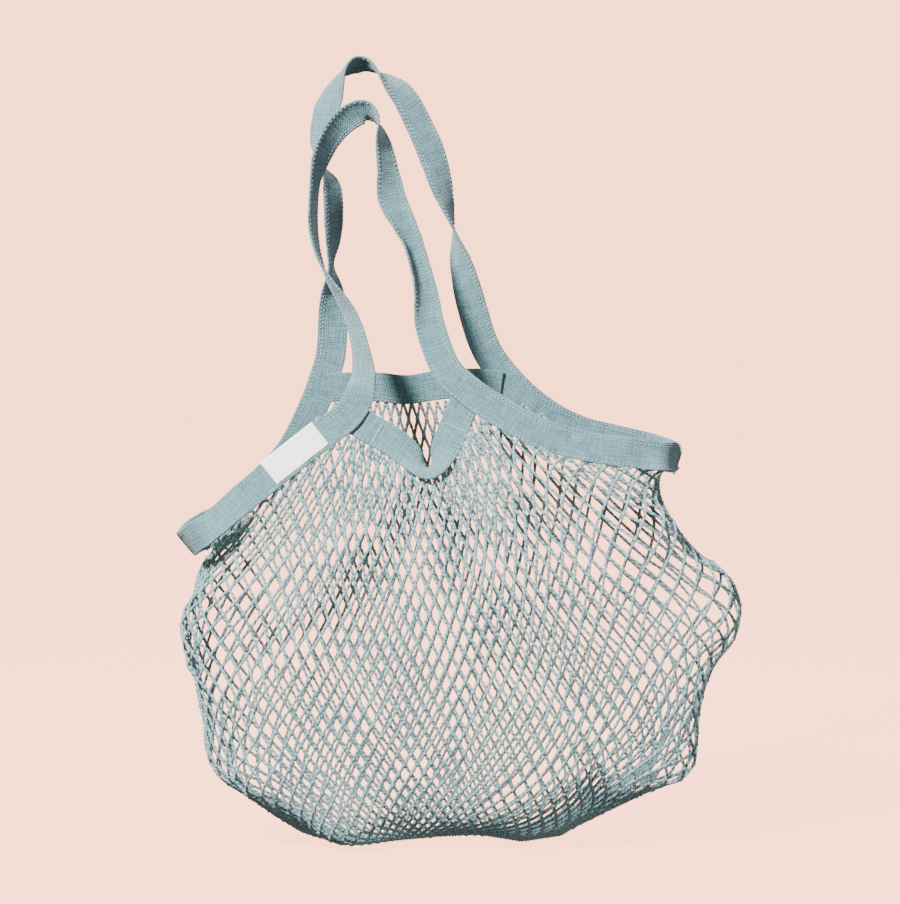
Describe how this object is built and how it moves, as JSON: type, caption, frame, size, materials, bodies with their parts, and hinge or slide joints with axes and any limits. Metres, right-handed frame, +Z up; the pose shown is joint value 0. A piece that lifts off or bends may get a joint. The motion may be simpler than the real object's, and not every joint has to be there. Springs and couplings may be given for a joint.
{
  "type": "mesh produce bag",
  "caption": "Soft knotted-net shopping bag, hemmed with cotton tape that continues into a front and a back handle loop, shown in its filled, upright shape.",
  "frame": {"origin": "on the resting face, in the middle of the overall width and depth", "axes": "+Z up towards the handles, +X to the right seen from the front, front faces -Y"},
  "size_m": [0.4739, 0.186, 0.6696],
  "materials": {
    "tape": "matt woven cotton twill tape",
    "net_cord": "matt twisted cotton cord, knotted",
    "label": "smooth woven satin label",
    "thread": "matt cotton sewing thread"
  },
  "bodies": {
    "bag": {"net_front": "net_cord", "net_back": "net_cord", "left_side_seam": "thread", "right_side_seam": "thread", "bottom_seam": "thread", "front_left_rim": "tape", "front_right_rim": "tape", "back_left_rim": "tape", "back_right_rim": "tape", "front_mouth_band": "tape", "back_mouth_band": "tape", "label": "label", "label_stitching": "thread", "front_left_topstitch": "thread", "front_right_topstitch": "thread", "back_left_topstitch": "thread", "back_right_topstitch": "thread", "front_mouth_topstitch": "thread", "back_mouth_topstitch": "thread", "front_left_bartack": "thread", "front_right_bartack": "thread", "back_left_bartack": "thread", "back_right_bartack": "thread"},
    "front_handle": {"front_handle": "tape"},
    "back_handle": {"back_handle": "tape"}
  },
  "joints": [
    {"name": "front_handle_fold", "type": "hinge", "parent": "bag", "child": "front_handle", "pos_m": [-0.04, -0.03787, 0.391], "axis": [1, 0, 0], "range_deg": [0, 150]},
    {"name": "back_handle_fold", "type": "hinge", "parent": "bag", "child": "back_handle", "pos_m": [-0.035, 0.03787, 0.391], "axis": [1, 0, 0], "range_deg": [-150, 0]}
  ]
}
